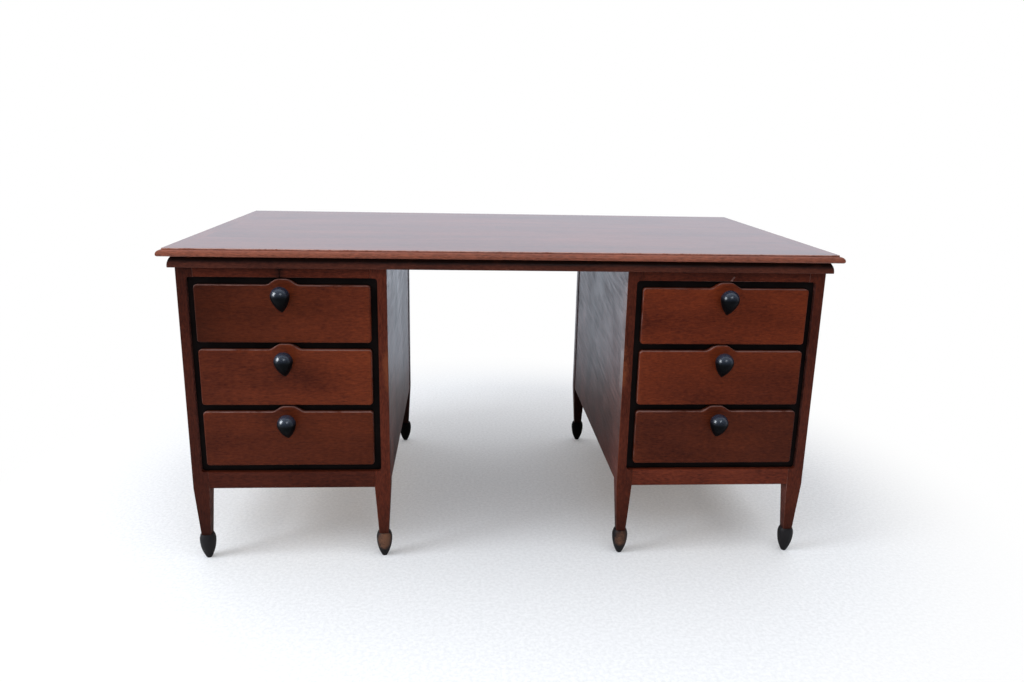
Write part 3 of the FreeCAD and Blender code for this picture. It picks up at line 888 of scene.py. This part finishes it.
rail = {
    "arris": 0.0015, "arrisSteps": 4, "grainShift": 0.6, "rubAndHighlightUp": 1, "rubDown": 0.6,
    "rubLean": 0.2,  # no rub on what leans further than this towards an end
    "plainTone": (1.2, 1.0),
    "tones": {  # how pale and how orange
        "left_front_bottom": (0.85, 1.0), "right_front_bottom": (1.8, 1.03),
        "left_front_top": (1.1, 1.05), "right_front_top": (1.06, 1.03),
    },
    "crack": {
        "name": "left_front_top", "x": -0.516, "width": 0.0016, "depth": 0.004,
        "sway": (0, 0.0007, -0.0004, 0.0006, 0), "dirt": 0.75, "dirtReach": 0.017,
        "dirtSlices": (-0.017, -0.011, -0.006, -0.002, 0.002, 0.006, 0.011, 0.017),
    },
    "chip": {
        "name": "right_front_top", "x": 0.523, "radius": 0.0022, "rise": 0.011, "lean": 0.009,
        "start": -0.002, "around": 14, "reach": 0.01, "bare": 0.0004,  # depth at which bare wood shows
    },
}


def makeRail(name, rail, side, level):  # on the front of its pedestal
    low, high = boxOf(f"{side}_rails")
    holeLow, holeHigh = boxOf(f"{side}_drawer_surrounds")
    bottom, top = (low.z, holeLow.z) if level == "bottom" else (holeHigh.z, high.z)
    bar = addBlock(name, (low.x, low.y, bottom), (high.x, low.y + recess["depth"], top))
    bevelWhere(
        bar, lambda a, b: abs(a.x - b.x) > longEdge and max(a.y, b.y) < low.y + slack,
        rail["arris"], rail["arrisSteps"])
    return bar


def crackRail(bar, crack):  # a split right down the face, a little crooked
    low, high = cornersOf(bar)
    x, half, last = crack["x"], crack["width"] / 2, len(crack["sway"]) - 1
    rise = (high.z - low.z + 2 * slack) / last
    line = [(x + sway, low.z - slack + rise * i) for i, sway in enumerate(crack["sway"])]
    edges = [[(across + step, low.y - slack, z) for across, z in line] for step in (-half, half)]
    wedge = traceLine("crack", edges[0] + edges[1][::-1])
    bpy.ops.mesh.edge_face_add()
    pushOut(0, crack["depth"] + slack, 0)
    faceOutwards()
    leaveEdit()
    combine(bar, wedge, "DIFFERENCE")
    slicePiece(bar, (1, 0, 0), [(x + step, low.y, low.z) for step in crack["dirtSlices"]])


def chipRail(bar, chip):  # a slanting splinter lost from the lower edge
    low, high = cornersOf(bar)
    start = (chip["x"] - chip["lean"] / 2, low.y, low.z + chip["start"])
    end = (chip["x"] + chip["lean"] / 2, low.y, low.z + chip["rise"])
    drill(bar, start, end, chip["radius"], chip["around"])


def wearRail(bar, rail, chipped, faceLevel):
    chip = rail["chip"]

    def rubbed(co, normal):
        if chipped and abs(co.x - chip["x"]) < chip["reach"]:
            return 1 if co.y > faceLevel + chip["bare"] else 0
        # upward arrises are paler than downward ones: wear, with a painted highlight on the upward ones
        strength = rail["rubAndHighlightUp"] if normal.z > 0 else rail["rubDown"]
        return between(normal.y, normal.z) * strength if abs(normal.x) < rail["rubLean"] else 0

    mark(bar, "wear", rubbed)


crack = rail["crack"]
for side in sides:
    for face in faces:
        for level in ("bottom", "top"):
            name = f"{side}_{face}_{level}"
            cracked, chipped = name == crack["name"], name == rail["chip"]["name"]
            bar = makeRail(name + "_rail", rail, side, level)
            faceLevel = cornersOf(bar)[0].y
            if face == "rear":
                turnPiece(bar, (0, 0, math.pi), (2 * pedestalMiddle[side], 0, 0))
            if cracked:
                crackRail(bar, crack)
            if chipped:
                chipRail(bar, rail["chip"])
            smoothShade(bar)
            wearRail(bar, rail, chipped, faceLevel)
            if cracked:
                reach = crack["dirtReach"]
                mark(bar, "grime", lambda co, normal: crack["dirt"] * ramp(reach - abs(co.x - crack["x"]), 0, reach))
            tone, warm = rail["tones"].get(name, rail["plainTone"])
            shift = len(bpy.data.materials) * rail["grainShift"]
            dress(bar, woodMaterial(name + "_railWood", frameFinish, "x", shift, tone, warm))
            fit(bar, "carcase", "mahogany", f"{side}_rails")
print("rails made")


# lipping of the top, and the moulded frame under it

lipping = {
    "width": 0.045, "edgeInset": 0.0108, "quirkStep": 0.0025, "quirkDrop": 0.004, "steps": 12,
    "noseHeight": 0.0045, "noseRound": 0.0035, "noseSteps": 6, "arris": 0.001, "arrisSteps": 4, "firstShift": 7,
}
moulding = {
    "width": 0.07, "lipHeight": 0.004, "topInset": 0.0095, "steps": 16, "lipArris": 0.0012, "lipSteps": 4,
    "screws": {"x": (-0.1385, 0.1385), "y": 0.37075, "radius": 0.0052, "depth": 0.0034},
    "dirt": (0.005, 0.013), "firstShift": 5,  # painted shade under the overhang of the top thickens between these heights over the lip
}


def lippingSection(lipping, bottom, top):  # (inset from the outer edge, height)
    tip = (0, bottom + lipping["noseHeight"])
    inset, arris = lipping["edgeInset"], lipping["arris"]
    shoulder = (inset - lipping["quirkStep"], top - lipping["quirkDrop"])
    points = roundTo(tip, (lipping["noseRound"], bottom), lipping["noseSteps"])[::-1]
    points += roundTo(tip, shoulder, lipping["steps"])[1:] + [(inset, shoulder[1])]
    return points + arcPoints((inset + arris, top - arris), arris, 180, 90, lipping["arrisSteps"])


def mouldingSection(moulding, bottom, top):
    lip = (0, bottom + moulding["lipHeight"])
    arris = moulding["lipArris"]
    points = arcPoints((arris, bottom + arris), arris, 270, 180, moulding["lipSteps"])
    return points + roundTo(lip, (moulding["topInset"], top), moulding["steps"])


def mitredMember(name, section, half, offset, turn):  # run along the front, mitred, then turned to its side
    member = traceLine(name, [(-half, inset - offset, height) for inset, height in section])
    bpy.ops.mesh.edge_face_add()
    pushOut(2 * half, 0, 0)
    for end in (-1, 1):
        selectAll()
        bpy.ops.mesh.bisect(
            plane_co=(end * half, -offset, 0), plane_no=(end, 1, 0), threshold=cutReach,
            use_fill=True, clear_outer=True)
    faceOutwards()
    leaveEdit()
    return turnPiece(member, (0, 0, math.radians(turn)))


def mitredRing(prefix, makeSection, sizes, node):  # four members, numbered, with the way their grain runs
    low, high = boxOf(node)
    section = makeSection(sizes, low.z, high.z) + [(sizes["width"], high.z), (sizes["width"], low.z)]
    members = []
    for index, side in enumerate(("front", "right", "rear", "left")):
        along = "xy"[index % 2]
        half, offset = (high.x, high.y) if along == "x" else (high.y, high.x)
        members.append((index, mitredMember(f"{prefix}_{side}", section, half, offset, 90 * index), along))
    return members


topLevel = boxOf("top_lipping")[1].z
for index, member, along in mitredRing("top_lipping", lippingSection, lipping, "top_lipping"):
    smoothShade(member, angle=40)
    # pale top arris: a painted highlight where the arris catches the light, with some wear
    mark(member, "wear", lambda co, normal: 1 if mergeReach < topLevel - co.z < lipping["arris"] else 0)
    shift = lipping["firstShift"] + index
    dress(
        member, woodMaterial(f"lippingWood{index}", boardFinish, along, shift),
        woodMaterial(f"litNoseWood{index}", litNoseFinish, along, shift))
    for face in member.data.polygons:  # the flat is polished like the board; the round takes the paler nose wood, painted light
        face.material_index = 0 if face.center.z > topLevel - hair else 1
    fit(member, "carcase", "mahogany", "top_lipping")

lipTop = boxOf("top_frame_moulding")[0].z + moulding["lipHeight"]
for index, member, along in mitredRing("frame_moulding", mouldingSection, moulding, "top_frame_moulding"):
    screws = moulding["screws"]
    for x in screws["x"] if along == "x" else ():
        low, high = cornersOf(member)
        y = math.copysign(screws["y"], low.y)
        drill(member, (x, y, low.z - overshoot), (x, y, low.z + screws["depth"]), screws["radius"])
    smoothShade(member, angle=40)
    # darkens the upper cove: painted shade under the overhang of the top
    mark(member, "grime", lambda co, normal: ramp(co.z - lipTop, *moulding["dirt"]))
    dress(member, woodMaterial(f"frameWood{index}", mouldingFinish, along, moulding["firstShift"] + index))
    fit(member, "carcase", "mahogany", "top_frame_moulding")
print("lipping and frame moulding made")


# drawer boxes

drawerBox = {
    "side": 0.011, "back": 0.01, "bottom": 0.006, "bottomLift": 0.008,
    "ease": 0.0009, "easeSteps": 2, "topRound": 0.0035, "topSteps": 4, "sharp": 50, "topWear": 0.7, "topLean": 0.3,
}


def makeBoard(low, high, box, roundTop):
    board = addBlock("boxBoard", low, high)
    if roundTop:  # the long top edges are worn round
        bevelWhere(
            board, lambda a, b: abs(a.y - b.y) > longEdge and min(a.z, b.z) > high[2] - hair,
            box["topRound"], box["topSteps"])
    pick(board, "EDGE", lambda a, b: False)  # nothing, until the sharp edges are found
    bpy.ops.mesh.edges_select_sharp(sharpness=math.radians(box["sharp"]))
    bevelPicked(box["ease"], box["easeSteps"])
    leaveEdit()
    smoothShade(board)
    return board


def makeDrawerBox(box):  # front end at y = 0, standing on z = 0
    low, high = boxOf("left_front_bottom_drawer_box")
    half, depth, height = (high.x - low.x) / 2, high.y - low.y, high.z - low.z
    inner, backStart = half - box["side"], depth - box["back"]
    floorLow, floorHigh = box["bottomLift"], box["bottomLift"] + box["bottom"]
    sideOak = woodMaterial("boxSideOak", boxFinish, "y", 1)
    crossOak = woodMaterial("boxCrossOak", boxFinish, "x", 2)
    plan = (  # low corner, high corner, rounded on top, wood
        ((-half, 0, 0), (-inner, depth, height), True, sideOak),
        ((inner, 0, 0), (half, depth, height), True, sideOak),
        ((-inner, 0, floorLow), (inner, depth, floorHigh), False, crossOak),
        ((-inner, backStart, floorHigh), (inner, depth, height), False, crossOak),
    )
    boards = []
    for boardLow, boardHigh, roundTop, oak in plan:
        boards.append(makeBoard(boardLow, boardHigh, box, roundTop))
        dress(boards[-1], oak)
    choose(boards[0])
    for board in boards:
        board.select_set(True)
    bpy.ops.object.join()
    whole = bpy.context.object
    topStart, wear, lean = height - box["topRound"], box["topWear"], box["topLean"]
    mark(whole, "wear", lambda co, normal: wear if co.z > topStart and normal.z > lean else 0)
    return whole


onDrawers(makeDrawerBox(drawerBox), "box", "oak_box", "drawer_oak")
print("drawer boxes made")


# camera

cameraSettings = {
    "place": (-0.10989, -2.23276, 1.03161),
    "yaw": 3.7846,  # degrees to the right of straight ahead
    "pitch": 14.52,  # degrees down
    "roll": 1.1815,
    "focalPixels": 809.04, "framePixels": 1024, "sensorWidth": 36,
}


def makeCamera(view):
    yaw, pitch, roll = (math.radians(view[label]) for label in ("yaw", "pitch", "roll"))
    level = Matrix.Rotation(-yaw, 4, "Z") @ Matrix.Rotation(math.pi / 2 - pitch, 4, "X")
    bpy.ops.object.camera_add()
    camera = bpy.context.object
    camera.name = "photoCamera"
    camera.matrix_world = Matrix.Translation(view["place"]) @ level @ Matrix.Rotation(roll, 4, "Z")
    camera.data.sensor_width = view["sensorWidth"]
    camera.data.lens = view["focalPixels"] / view["framePixels"] * camera.data.sensor_width
    bpy.context.scene.camera = camera


makeCamera(cameraSettings)


# studio

studio = {
    "floorColour": (0.93, 0.93, 0.935), "floorRadius": 14, "floorSides": 96, "floorRough": 0.85,
    "grit": ((120, 120, 120), 5, 0.75), "gritRange": (0.4, 0.6), "gritDark": 0.86,
    "fade": (0.8, 1.5), "lift": 0.15,  # where the floor turns white, and how much it does so near the desk, where the white lifts the cast shadows as painted light
    "ambient": 0.3, "behind": 1.05, "before": 0.25, "mirrorTint": (0.8, 0.88, 1.0), "mirroredFloor": 0.45,
    "frontReach": (-2.4, -0.8), "skyReach": (-0.4, 0.5),  # what is mirrored dims towards the front between these
    "lamps": {  # place, target, size, watts, colour
        "ceilingLight": ((0, -0.3, 3.2), (0, -0.3, 0), (6, 6), 165, (1, 1, 1)),
        "leftWindow": ((-3.6, -1.5, 1.95), (0, -0.4, 0.5), (1.7, 1.9), 105, (0.88, 0.94, 1)),
        "frontWindow": ((0.7, -3.4, 2.9), (0, -0.4, 0.6), (1.4, 0.7), 16, (0.84, 0.92, 1)),
    },
}


def areaLight(name, place, target, size, energy, colour):
    data = bpy.data.lights.new(name, "AREA")
    data.shape = "RECTANGLE"
    data.size, data.size_y = size
    data.energy = energy
    data.color = colour
    lamp = bpy.data.objects.new(name, data)
    bpy.context.scene.collection.objects.link(lamp)
    lamp.location = place
    lamp.rotation_euler = (Vector(target) - Vector(place)).to_track_quat("-Z", "Y").to_euler()
    lamp.visible_camera = False
    lamp.visible_glossy = name != "ceilingLight"  # the room above isn't mirrored


def seenDirectly(path):  # by the camera, through glass too
    return larger(path["Is Camera Ray"], path["Is Transmission Ray"])


def makeFloor(studio):
    startFresh()
    bpy.ops.mesh.primitive_circle_add(
        vertices=studio["floorSides"], radius=studio["floorRadius"], fill_type="NGON")
    floor = settle("studioFloor")
    material, tree, shader = newMaterial("studioFloor")
    vector = objectPlace(tree)
    path = addNode(tree, "ShaderNodeLightPath")
    direct, glossy = seenDirectly(path), path["Is Glossy Ray"]
    grit = spread(noise(vector, *studio["grit"]), *studio["gritRange"])
    pale, dim = studio["floorColour"], studio["mirroredFloor"]
    speckled = mixColour(grit, tuple(c * studio["gritDark"] for c in pale), pale)
    fill(shader, {"Base Color": mixColour(glossy, speckled, (dim, dim, dim)), "Roughness": studio["floorRough"]})
    distance = addNode(tree, "ShaderNodeVectorMath", {0: vector}, operation="LENGTH")["Value"]
    away = spread(distance, *studio["fade"], kind="SMOOTHSTEP")
    toFront = spread(axisOf(vector, "Y"), *studio["frontReach"], studio["before"], 1.0)
    shown = mixColour(direct, shadeBy(studio["mirrorTint"], toFront), (1, 1, 1))
    white = addNode(tree, "ShaderNodeEmission", {"Color": shown})[0]
    share = larger(times(away, larger(direct, glossy)), times(direct, studio["lift"]))
    mixed = addNode(tree, "ShaderNodeMixShader", {0: share, 1: shader.outputs[0], 2: white})[0]
    feed(tree.nodes["Material Output"].inputs["Surface"], mixed)
    floor.data.materials.append(material)


def makeWorld(studio):
    world = bpy.data.worlds.new("studioWorld")
    bpy.context.scene.world = world
    world.use_nodes = True
    tree = world.node_tree
    tree.nodes.clear()
    path = addNode(tree, "ShaderNodeLightPath")
    direct = seenDirectly(path)
    toFront = axisOf(addNode(tree, "ShaderNodeTexCoord")["Generated"], "Y")
    mirrored = spread(toFront, *studio["skyReach"], studio["before"], studio["behind"])
    strength = times(path["Is Glossy Ray"], minus(mirrored, studio["ambient"]))
    background = addNode(tree, "ShaderNodeBackground", {
        "Strength": larger(plus(strength, studio["ambient"]), direct),
        "Color": mixColour(direct, studio["mirrorTint"], (1, 1, 1)),
    })[0]
    addNode(tree, "ShaderNodeOutputWorld", {0: background})


makeFloor(studio)
makeWorld(studio)
for name, values in studio["lamps"].items():
    areaLight(name, *values)
bpy.context.scene.view_settings.view_transform = "Standard"
print("studio made")
